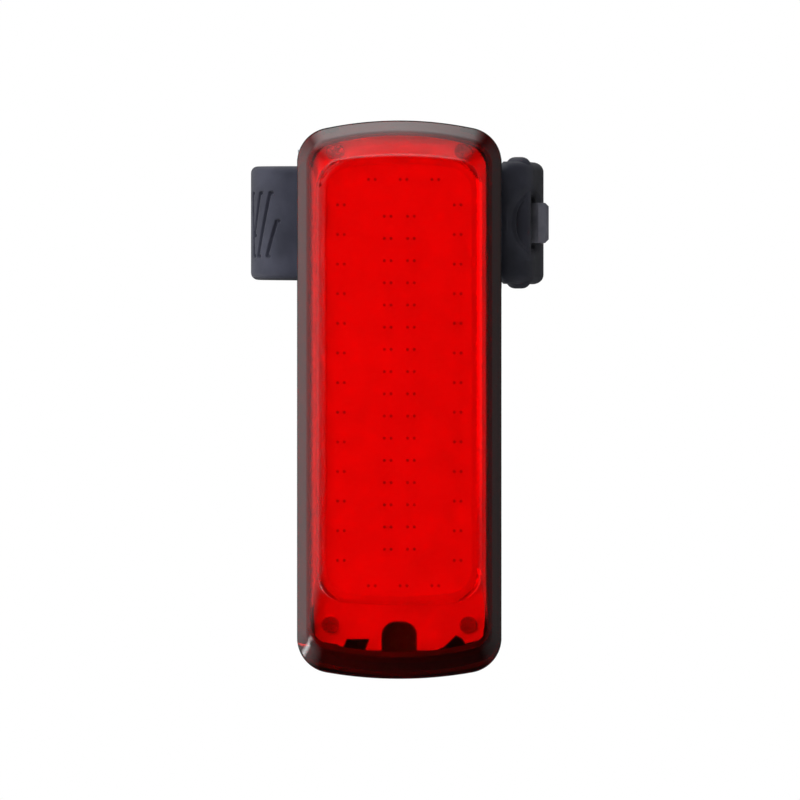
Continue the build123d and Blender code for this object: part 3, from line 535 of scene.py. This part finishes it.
def grooveCut(length, height):
    # depth of the slanted grooves: a steep smooth trench round each groove's line, hooked at both ends
    reach = strap["leftBend"] + strap["thick"] / 2
    across = reach * (length - marks[1]) / strap["leftBend"]
    cut = np.zeros_like(across)
    hook, drop, steep = strap["grooveHook"], strap["hookDrop"], strap["grooveWall"]
    for top, bottom, high, low in grooves:
        first, last = reach * math.radians(top), reach * math.radians(bottom)
        knots = [(first - hook, high + drop), (first, high), (last, low), (last - hook, low - drop)]
        for (u1, v1), (u2, v2) in zip(knots[:-1], knots[1:]):
            du, dv = u2 - u1, v2 - v1
            share = np.clip(((across - u1) * du + (height - v1) * dv) / (du * du + dv * dv), 0, 1)
            away = np.hypot(across - u1 - share * du, height - v1 - share * dv)
            wall = np.clip((strap["grooveHalf"] + steep / 2 - away) / steep, 0, 1)
            cut = np.maximum(cut, wall * wall * (3 - 2 * wall))
    return strap["grooveDepth"] * cut


def makeStrapRoot():
    # Left stretch and half the back: a rounded rectangle carried along the middle line
    half, outer, inner = strap["thick"] / 2, strap["outerEdge"], strap["innerEdge"]
    turn = quarter(strap["edgeSteps"])
    up, down = np.linspace(-1, 1, strap["faceSteps"]), np.linspace(1, -1, strap["backSteps"])
    ones, zero, back = np.ones_like(turn), np.zeros_like(up), np.ones_like(down)
    outerCurve, innerCurve = half - outer + outer * np.cos(turn), inner - half - inner * np.cos(turn)
    offset = np.concatenate([
        zero + half, outerCurve, innerCurve[::-1], -half * back, innerCurve, outerCurve[::-1]
    ])
    share = np.concatenate([up, ones, ones, down, -ones, -ones])
    inset = np.concatenate([
        zero + outer, outer * ones, inner * ones, inner * back, inner * ones, outer * ones
    ])
    outerRise, innerRise = outer * np.sin(turn), inner * np.sin(turn)
    extra = np.concatenate([zero, outerRise, innerRise[::-1], 0 * back, -innerRise, -outerRise[::-1]])
    # sections stand close together in the left bend, where the grooves are
    seam = loopLength(strap["seam"])
    stops = [strap["start"], *marks[1:4], seam - strap["seamStretch"], seam]
    length = [np.linspace(*part)[:-1] for part in zip(stops[:-1], stops[1:], strap["lengthSteps"])]
    length = np.concatenate([*length, [seam]])
    along, around = np.meshgrid(length, np.arange(len(offset)), indexing="ij")
    height = share[around] * (halfHeight(along) - inset[around]) + extra[around]
    out = offset[around] - grooveCut(along, height) * (offset[around] > 0)
    piece = gridMesh("strapRoot", strapPlace(along, out, height) * mm, poles=(True, True), sharp=50)
    dressStrap(piece)
    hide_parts("strap_root")
    bend(piece)


def bend(piece):
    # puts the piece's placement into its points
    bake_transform(piece)


def dressStrap(piece):
    # the same rubber and slot on every part of the strap
    piece.data.materials.append(finishes["strap_rubber"])


hole = {
    "back": 85.87, "frontOuter": 93.4, "frontInner": 94.7, "half": 3.3, "squareness": 2.8, "rim": 0.3,
    "dish": 1.0, "dishReach": 2.3, "dishPower": 1.5,
    "lip": 0.4, "lipPlace": 0.35, "lipWidth": 0.26, "lipStart": 0.1,
}


def holeOutline(turn, front):
    # a rounded rectangle by the superellipse formula, its front end at the given length
    middle, reach = (hole["back"] + front) / 2, (front - hole["back"]) / 2
    power = 2 / hole["squareness"]
    c, s = np.cos(turn), np.sin(turn)
    return middle + reach * np.sign(c) * np.abs(c) ** power, hole["half"] * np.sign(s) * np.abs(s) ** power


endSteps = {"start": 24, "long": 84, "tip": 30, "face": 64, "wall": 8, "rim": 5, "outerEdge": 8, "innerEdge": 6,
            "crowding": 0.75, "tipRound": 0.98}


def makeStrapEnd():
    # Holed end and the other half of the back, as one ring of sections round the hole: hole wall, outer face,
    # edge, inner face. Every section runs from a place on the hole to a place on the strap's outline.
    half, rim, edge, tipCorner = strap["thick"] / 2, hole["rim"], strap["outerEdge"], strap["tipCorner"]
    first, last = loopLength(strap["seam"]), marks[-2] + half
    counts = (endSteps["start"], endSteps["long"], endSteps["tip"], endSteps["long"])
    startCount, longCount, tipCount = counts[:3]
    # round the hole in four parts, in half turns: towards the start, below, towards the tip and above
    parts = ((0.75, 1.25), (1.25, 1.75), (1.75, 2.25), (2.25, 2.75))
    turn = [np.linspace(*part, count, endpoint=False) for part, count in zip(parts, counts)]
    turn = np.concatenate(turn) * math.pi
    longWay = first + np.linspace(0, 1, longCount) ** endSteps["crowding"] * (last - tipCorner - first)
    startHeight, tipHeight = halfHeight(np.array([first, last]))
    outLength = np.concatenate([np.full(startCount, first), longWay, np.full(tipCount, last), longWay[::-1]])
    outHeight = np.concatenate([
        np.linspace(startHeight - edge, edge - startHeight, startCount), -halfHeight(longWay),
        np.linspace(tipCorner - tipHeight, tipHeight - tipCorner, tipCount), halfHeight(longWay[::-1])
    ])
    # directions from the outline into the strap, and the radius of its edges there
    normalLength = np.repeat([1.0, 0.0, -1.0, 0.0], counts)
    normalHeight = np.repeat([0.0, 1.0, 0.0, -1.0], counts)
    roundShare = np.clip((outLength - loopLength(strap["endBend"])) / strap["growOver"], 0, 1)
    outerRound = edge + roundShare * (strap["endEdge"] - edge)
    innerRound = np.full_like(outerRound, strap["innerEdge"])
    tip = slice(startCount + longCount, startCount + longCount + tipCount)
    for radius in (outerRound, innerRound):
        radius[:startCount], radius[tip] = 0, half * endSteps["tipRound"]
    rows = []

    def row(offset, length, height):
        rows.append(strapPlace(length, np.broadcast_to(offset, length.shape), height))

    def holeAt(offset):
        # the hole's outline at an offset, and its directions away from the hole
        front = hole["frontInner"] + (hole["frontOuter"] - hole["frontInner"]) * (offset + half) / (2 * half)
        length, height = holeOutline(turn, front)
        outline = np.stack([length, height], -1)
        tangent = np.roll(outline, -1, axis=0) - np.roll(outline, 1, axis=0)
        tangent /= np.linalg.norm(tangent, axis=-1, keepdims=True)
        return length, height, tangent[:, 1], -tangent[:, 0]

    def rimRow(outline, offset, swing):
        # the hole's rounded rim, which draws away from the hole as it turns
        length, height, awayLength, awayHeight = outline
        draw = rim * (1 - math.cos(swing))
        row(offset, length + awayLength * draw, height + awayHeight * draw)

    def edgeRow(radius, offset, swing):
        # the strap's rounded edge, which draws in from the outline as it turns
        draw = radius * (1 - math.sin(swing))
        row(offset, outLength + normalLength * draw, outHeight + normalHeight * draw)

    def facePlace(outline, radius, share):
        # a share of the way over a face, from the hole's rim to the strap's edge, and the distance covered
        length, height, awayLength, awayHeight = outline
        nearLength, nearHeight = length + awayLength * rim, height + awayHeight * rim
        farLength, farHeight = outLength + normalLength * radius, outHeight + normalHeight * radius
        atLength = nearLength + share * (farLength - nearLength)
        atHeight = nearHeight + share * (farHeight - nearHeight)
        return atLength, atHeight, np.hypot(atLength - nearLength, atHeight - nearHeight)

    top = half - hole["dish"]
    for offset in np.linspace(rim - half, top - rim, endSteps["wall"]):
        row(offset, *holeAt(offset)[:2])
    outerHole, innerHole = holeAt(top), holeAt(-half)
    for swing in quarter(endSteps["rim"])[1:]:
        rimRow(outerHole, top - rim + rim * math.sin(swing), swing)
    spread = 1 - np.cos(np.linspace(0, 1, endSteps["face"]) * math.pi / 2)
    for share in spread[1:]:
        # a dish round the hole, with a low lip by a bell curve just outside its rim
        length, height, away = facePlace(outerHole, outerRound, share)
        left = np.clip(1 - away / hole["dishReach"], 0, 1)
        lip = hole["lip"] * np.exp(-((away - hole["lipPlace"]) / hole["lipWidth"]) ** 2)
        lip *= np.clip(away / hole["lipStart"], 0, 1)
        row(half - hole["dish"] * left ** hole["dishPower"] + lip, length, height)
    for swing in quarter(endSteps["outerEdge"])[1:]:
        edgeRow(outerRound, half - outerRound + outerRound * math.cos(swing), swing)
    for swing in quarter(endSteps["innerEdge"])[::-1]:
        edgeRow(innerRound, innerRound - half - innerRound * math.cos(swing), swing)
    for share in spread[::-1][1:]:
        row(-half, *facePlace(innerHole, innerRound, share)[:2])
    for swing in quarter(endSteps["rim"])[-2:0:-1]:
        rimRow(innerHole, rim - half - rim * math.sin(swing), swing)
    piece = gridMesh("strapEnd", np.array(rows) * mm, closeRows=True, sharp=50)
    dressStrap(piece)
    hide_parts("strap_back", "strap_end")
    bend(piece)


knob = {"x": 16.95, "depth": 16.2, "radius": 1.8, "height": 9.35, "edge": 1.3, "steps": 48}
coreShare = 0.4  # the ends of a turned drum close with a fan from this share of the radius


def revolved(name, centre, axis, radii, places, count):
    # a profile of radii and places along an axis, turned once round it
    turn = np.linspace(0, 2 * math.pi, count, endpoint=False)
    radii, places = np.array(radii)[:, None], np.array(places)[:, None]
    flat1, flat2, along = radii * np.cos(turn), radii * np.sin(turn), places + 0 * turn
    order = {"x": (along, flat1, flat2), "y": (flat1, along, flat2), "z": (flat1, flat2, along)}[axis]
    grid = (np.stack(order, -1) + np.array(centre)) * mm
    return gridMesh(name, grid, poles=(True, True), sharp=35)


def rounded(radius, low, high, edge, steps=6):
    # profile of a drum with rounded rims, as radii and places
    turn, middle = quarter(steps), [radius * coreShare]
    radii = [middle, radius - edge + edge * np.sin(turn), radius - edge + edge * np.cos(turn), middle]
    places = [[low], low + edge - edge * np.cos(turn), high - edge + edge * np.sin(turn), [high]]
    return np.concatenate(radii), np.concatenate(places)


def makeKnob():
    # thick round bar across the tab, whose ends stand out above and below the strap
    radii, places = rounded(knob["radius"], -knob["height"], knob["height"], knob["edge"])
    piece = revolved("strapKnob", (knob["x"], -knob["depth"], 0), "z", radii, places, knob["steps"])
    dressStrap(piece)
    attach(piece, "strap_tip")
    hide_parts("strap_end")


def makeEye():
    # eye round the pin: a ring with rounded rims, whose bore is a little wider than the pin
    half = strap["height"] / 2
    radii, places = rounded(strap["eye"], -half, half, strap["innerEdge"])
    radii[0] = radii[-1] = strap["pin"] + strap["pinGap"]
    turn = np.linspace(0, 2 * math.pi, strap["eyeSteps"], endpoint=False)
    x = radii[:, None] * np.cos(turn) + strap["pinSide"]
    y = radii[:, None] * np.sin(turn) - strap["pinDepth"]
    grid = np.stack([x, y, places[:, None] + 0 * turn], -1) * mm
    piece = gridMesh("strapEye", grid, closeRows=True)
    dressStrap(piece)
    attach(piece, "light")
    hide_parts("strap_root")


makeStrapRoot()
makeStrapEnd()
makeKnob()
makeEye()
print("strap made")


# Saddle pad, power button and port flap

saddle = {"inner": 13.7, "outer": 15.9, "half": 8.0, "angle": 58, "edge": 0.35, "ribs": 9, "rib": 0.35,
          "steep": 1.6, "fade": 0.08, "rimLift": 0.02, "edgeSteps": 5, "upSteps": 121, "roundSteps": 60}


def makeSaddle():
    # pad between post and mount: a ring sector whose inner face waves in ribs along its height
    half, edge, inner, outer, rib = [saddle[name] for name in ("half", "edge", "inner", "outer", "rib")]
    turn, up = quarter(saddle["edgeSteps"]), np.linspace(-1, 1, saddle["upSteps"])
    wave = rib * np.clip(np.cos(np.pi * saddle["ribs"] * up) * saddle["steep"], -1, 1) / 2 + rib / 2
    fade = np.clip((1 - np.abs(up)) / saddle["fade"], 0, 1)
    rimRadius = inner + edge * np.sin(turn) ** 2 + saddle["rimLift"]
    rimHeight = half - edge + edge * np.sin(turn)
    radius = np.concatenate([inner + (rib - wave) * fade, rimRadius, [outer, outer], rimRadius[::-1]])
    height = np.concatenate([up * (half - edge), rimHeight, [half, -half], -rimHeight[::-1]])
    reach, count = saddle["angle"], saddle["roundSteps"]
    swing = np.radians(np.linspace(-reach, reach, count))[:, None] - math.pi / 2
    grid = np.stack([np.cos(swing) * radius, np.sin(swing) * radius, 0 * swing + height], -1)
    piece = gridMesh("saddlePad", grid * mm, poles=(True, True), sharp=40)
    piece.data.materials.append(finishes["soft_rubber"])
    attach(piece, "light")
    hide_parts("saddle_pad")


button = {
    "height": -31.0, "cap": 4.2, "rim": 0.6, "flange": 5.3, "stem": 1.2, "stemTip": 0.4,
    "back": 19.1, "wall": 22.05, "flangeFront": 22.85, "front": 25.5,
    "middle": 0.15, "dip": 0.35, "ring": 2.6, "ringWidth": 0.25, "ringLift": 0.05,
    "faceSteps": 22, "rimSteps": 7, "roundSteps": 72,
}


def makeButton():
    # Cap with a dished face inside a soft ring, rounded rim, flange and stem: one profile round its own axis
    cap, rim, back, lift = button["cap"], button["rim"], button["back"], button["ringLift"]
    flange, stem, wall = button["flange"], button["stem"], button["wall"]
    faceRadius = button["middle"] + np.linspace(0, 1, button["faceSteps"]) * (cap - rim - button["middle"])
    bowl = button["dip"] * np.clip(1 - (faceRadius / button["ring"]) ** 2, 0, 1)
    ridge = np.exp(-((faceRadius - button["ring"]) / button["ringWidth"]) ** 2)
    turn = quarter(button["rimSteps"])
    radii = np.concatenate([
        faceRadius, cap - rim + rim * np.sin(turn), [cap, flange, flange, stem, stem, button["stemTip"]]
    ])
    depth = np.concatenate([
        back + bowl + lift * (1 - ridge), back + lift + rim - rim * np.cos(turn),
        [wall, wall, button["flangeFront"], button["flangeFront"], button["front"], button["front"]]
    ])
    piece = revolved("powerButton", (0, 0, button["height"]), "y", radii, -depth, button["roundSteps"])
    piece.data.materials.append(finishes["button_rubber"])
    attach(piece, "button")
    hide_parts("power_button")


flap = {
    "half": 6.5, "front": 30.9, "back": 23.3, "low": -64.27, "thick": 1.2, "edge": 0.3, "corner": 1.2,
    "roll": 0.62, "rollEdge": 0.12, "hingeHeight": -63.65,
    "plugHalf": 3.85, "plugBack": 26.7, "plugFront": 28.5, "plugTop": -62.53, "plugSink": 0.3,
    "plugCorner": 0.8, "plugEdge": 0.25, "flatInset": 3, "leastSpan": 0.01, "leastCorner": 0.05,
    "outlineSteps": 96, "edgeSteps": 6, "rollSteps": 28, "rollEdgeSteps": 4,
}


def softSlab(name, x, depth, z, corner, edge):
    # a slab between sides x, depths and heights z: its outline has round corners and its rims are rounded
    middle = ((x[0] + x[1]) / 2, -(depth[0] + depth[1]) / 2)
    halfX, halfY = (x[1] - x[0]) / 2, (depth[1] - depth[0]) / 2
    turn = np.linspace(0, 2 * math.pi, flap["outlineSteps"], endpoint=False)
    towardX, towardY = np.sign(np.cos(turn)), np.sign(np.sin(turn))
    flatInset, leastSpan, swing = flap["flatInset"], flap["leastSpan"], quarter(flap["edgeSteps"])
    fall, rise = 1 - np.sin(swing), 1 - np.cos(swing)
    insets = np.concatenate([[flatInset], edge * fall, edge * fall[::-1], [flatInset]])
    heights = np.concatenate([[z[0]], z[0] + edge * rise, z[1] - edge * rise[::-1], [z[1]]])
    rows = []
    for inset, height in zip(insets, heights):
        cut = max(corner - inset, flap["leastCorner"])
        spanX, spanY = max(halfX - inset - cut, leastSpan), max(halfY - inset - cut, leastSpan)
        across = middle[0] + towardX * spanX + cut * np.cos(turn)
        along = middle[1] + towardY * spanY + cut * np.sin(turn)
        rows.append(np.stack([across, along, np.full_like(turn, height)], -1))
    return gridMesh(name, np.array(rows) * mm, poles=(True, True), sharp=40)


def makeFlap():
    # plate, hinge roll and plug, each closed and set into the next
    half, back, low, top = flap["half"], flap["back"], flap["low"], flap["low"] + flap["thick"]
    radii, places = rounded(flap["roll"], -half, half, flap["rollEdge"], flap["rollEdgeSteps"])
    pieces = [
        softSlab("flapPlate", (-half, half), (back, flap["front"]), (low, top), flap["corner"], flap["edge"]),
        softSlab("flapPlug", (-flap["plugHalf"], flap["plugHalf"]), (flap["plugBack"], flap["plugFront"]),
                 (top - flap["plugSink"], flap["plugTop"]), flap["plugCorner"], flap["plugEdge"]),
        revolved("flapRoll", (0, -back, flap["hingeHeight"]), "x", radii, places, flap["rollSteps"]),
    ]
    for piece in pieces:
        piece.data.materials.append(finishes["soft_rubber"])
        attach(piece, "flap")
        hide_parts("port_flap")


makeSaddle()
makeButton()
makeFlap()
print("soft pieces made")


# Stage, lights and camera

stageSizes = {"floor": -0.2, "reach": 0.75, "fadeFrom": 0.2, "fadeTo": 0.6, "dark": (238, 238, 238),
              "light": (244, 244, 244), "grain": 3.0, "roughness": 0.9}


def paleStage():
    # pale matte floor that fades out to plain white for the camera, so that its edge doesn't show
    material, nodes, links, shader, place = newMaterial("paleStage")
    drift = noise(nodes, links, place, stageSizes["grain"])
    links.new(ramp(nodes, links, drift, stageSizes["dark"], stageSizes["light"]), shader.inputs["Base Color"])
    shader.inputs["Roughness"].default_value = stageSizes["roughness"]
    glow = nodes.new("ShaderNodeEmission")
    far = nodes.new("ShaderNodeVectorMath")
    far.operation = "LENGTH"
    links.new(place, far.inputs[0])
    fade = nodes.new("ShaderNodeMapRange")
    fade.interpolation_type = "SMOOTHSTEP"
    fade.inputs["From Min"].default_value = stageSizes["fadeFrom"]
    fade.inputs["From Max"].default_value = stageSizes["fadeTo"]
    links.new(far.outputs["Value"], fade.inputs["Value"])
    path = nodes.new("ShaderNodeLightPath")
    seen = nodes.new("ShaderNodeMath")
    seen.operation = "MULTIPLY"
    links.new(path.outputs["Is Camera Ray"], seen.inputs[0])
    links.new(fade.outputs["Result"], seen.inputs[1])
    mix = nodes.new("ShaderNodeMixShader")
    links.new(seen.outputs[0], mix.inputs["Fac"])
    links.new(shader.outputs["BSDF"], mix.inputs[1])
    links.new(glow.outputs["Emission"], mix.inputs[2])
    links.new(mix.outputs["Shader"], nodes["Material Output"].inputs["Surface"])
    return material


def makeStage():
    # flat square floor under the object
    reach, low = stageSizes["reach"], stageSizes["floor"]
    mesh = bpy.data.meshes.new("paleFloor")
    corners = [(-reach, -reach, low), (reach, -reach, low), (reach, reach, low), (-reach, reach, low)]
    mesh.from_pydata(corners, [], [(0, 1, 2, 3)])
    floor = bpy.data.objects.new("paleFloor", mesh)
    bpy.context.scene.collection.objects.link(floor)
    mesh.materials.append(paleStage())
    floor.visible_glossy = False
    floor.visible_transmission = False


lamps = {  # places and sizes in metres, power in watts
    "leftSoftbox": {"place": (-0.3, -0.9, 0.2), "size": (0.42, 0.5), "power": 9.4},
    "sideSoftbox": {"place": (-0.9, -0.12, 0.05), "size": (0.4, 0.5), "power": 5.0},
    "frontSoftbox": {"place": (-0.25, -0.75, 0.62), "size": (0.45, 0.3), "power": 1.5},
}
objectMiddle = (0, -0.03, -0.025)


def makeLamps():
    # soft rectangles that look at the middle of the object
    for name, values in lamps.items():
        data = bpy.data.lights.new(name, "AREA")
        data.shape = "RECTANGLE"
        data.size, data.size_y = values["size"]
        data.energy = values["power"]
        lamp = bpy.data.objects.new(name, data)
        lamp.location = values["place"]
        toMiddle = Vector(objectMiddle) - Vector(values["place"])
        lamp.rotation_euler = toMiddle.to_track_quat("-Z", "Y").to_euler()
        lamp.visible_glossy = False  # the world alone shows in the gloss
        bpy.context.scene.collection.objects.link(lamp)


view = {"distance": 3.0, "right": 0.0001, "height": -0.0252, "across": 800 * pixel, "plane": 0.0315,
        "sensor": 36.0, "nearest": 0.01}


def makeCamera():
    # level camera straight in front, whose frame is 800 of the photograph's pixels wide at the parting face
    data = bpy.data.cameras.new("camera")
    data.sensor_width = view["sensor"]
    data.lens = view["sensor"] * (view["distance"] - view["plane"]) / view["across"]
    data.clip_start = view["nearest"]
    camera = bpy.data.objects.new("camera", data)
    camera.location = (view["right"], -view["distance"], view["height"])
    camera.rotation_euler = (math.pi / 2, 0, 0)
    bpy.context.scene.collection.objects.link(camera)
    bpy.context.scene.camera = camera


studio = {
    "base": 0.02, "top": 2.2, "topFrom": 0.5, "topTo": 0.85, "topRightFrom": 0.55, "topRightTo": -0.05,
    "left": 0.8, "leftFrom": -0.3, "leftTo": -0.8, "right": 0.15, "rightFrom": 0.4, "rightTo": 0.8,
    "streak": 6.0, "streakSide": -0.6, "streakHeight": -0.46, "streakHalf": 0.14,
    "patchFrom": 0.984, "patchTo": 0.99, "white": (1, 1, 1, 1),
}


def makeWorld():
    # Light by direction: bright above but for the right, softer at the left with a bright patch low down for
    # the long highlight, faint at the right, and dark in front and below. The camera sees white, and so do
    # glass and metal in a small patch straight behind the object.
    world = bpy.data.worlds.new("studio")
    bpy.context.scene.world = world
    world.use_nodes = True
    nodes, links = world.node_tree.nodes, world.node_tree.links
    place = nodes.new("ShaderNodeTexCoord")
    parts = nodes.new("ShaderNodeSeparateXYZ")
    links.new(place.outputs["Generated"], parts.inputs["Vector"])

    def band(source, start, stop, height):
        # rises smoothly from nothing to a height between two places along an axis
        spread = nodes.new("ShaderNodeMapRange")
        spread.interpolation_type = "SMOOTHSTEP"
        spread.inputs["From Min"].default_value = start
        spread.inputs["From Max"].default_value = stop
        spread.inputs["To Max"].default_value = height
        links.new(parts.outputs[source], spread.inputs["Value"])
        return spread.outputs["Result"]

    def join(operation, first, second):
        # one Math node on two outputs, or on an output and a number
        step = nodes.new("ShaderNodeMath")
        step.operation = operation
        for slot, value in enumerate((first, second)):
            if isinstance(value, float):
                step.inputs[slot].default_value = value
            else:
                links.new(value, step.inputs[slot])
        return step.outputs[0]

    above = band("Z", studio["topFrom"], studio["topTo"], studio["top"])
    above = join("MULTIPLY", above, band("X", studio["topRightFrom"], studio["topRightTo"], 1.0))
    left = band("X", studio["leftFrom"], studio["leftTo"], studio["left"])
    right = band("X", studio["rightFrom"], studio["rightTo"], studio["right"])
    side, height, half = studio["streakSide"], studio["streakHeight"], studio["streakHalf"]
    streak = band("X", side, side - half, studio["streak"])
    streak = join("MULTIPLY", streak, band("Z", height + half, height, 1.0))
    streak = join("MULTIPLY", streak, band("Z", height - half, height, 1.0))
    strength = join("MAXIMUM", join("MAXIMUM", above, left), join("MAXIMUM", streak, right))
    strength = join("MAXIMUM", strength, studio["base"])
    soft = nodes["Background"]
    soft.inputs["Color"].default_value = studio["white"]
    links.new(strength, soft.inputs["Strength"])
    white = nodes.new("ShaderNodeBackground")
    white.inputs["Color"].default_value = studio["white"]
    path = nodes.new("ShaderNodeLightPath")
    mirrored = join("MAXIMUM", path.outputs["Is Glossy Ray"], path.outputs["Is Transmission Ray"])
    patch = band("Y", studio["patchFrom"], studio["patchTo"], 1.0)
    seen = join("MAXIMUM", path.outputs["Is Camera Ray"], join("MULTIPLY", mirrored, patch))
    mix = nodes.new("ShaderNodeMixShader")
    links.new(seen, mix.inputs["Fac"])
    links.new(soft.outputs["Background"], mix.inputs[1])
    links.new(white.outputs["Background"], mix.inputs[2])
    links.new(mix.outputs["Shader"], nodes["World Output"].inputs["Surface"])


makeStage()
makeWorld()
makeLamps()
makeCamera()
bpy.context.scene.view_settings.view_transform = "Standard"
print("stage, lights and camera set")
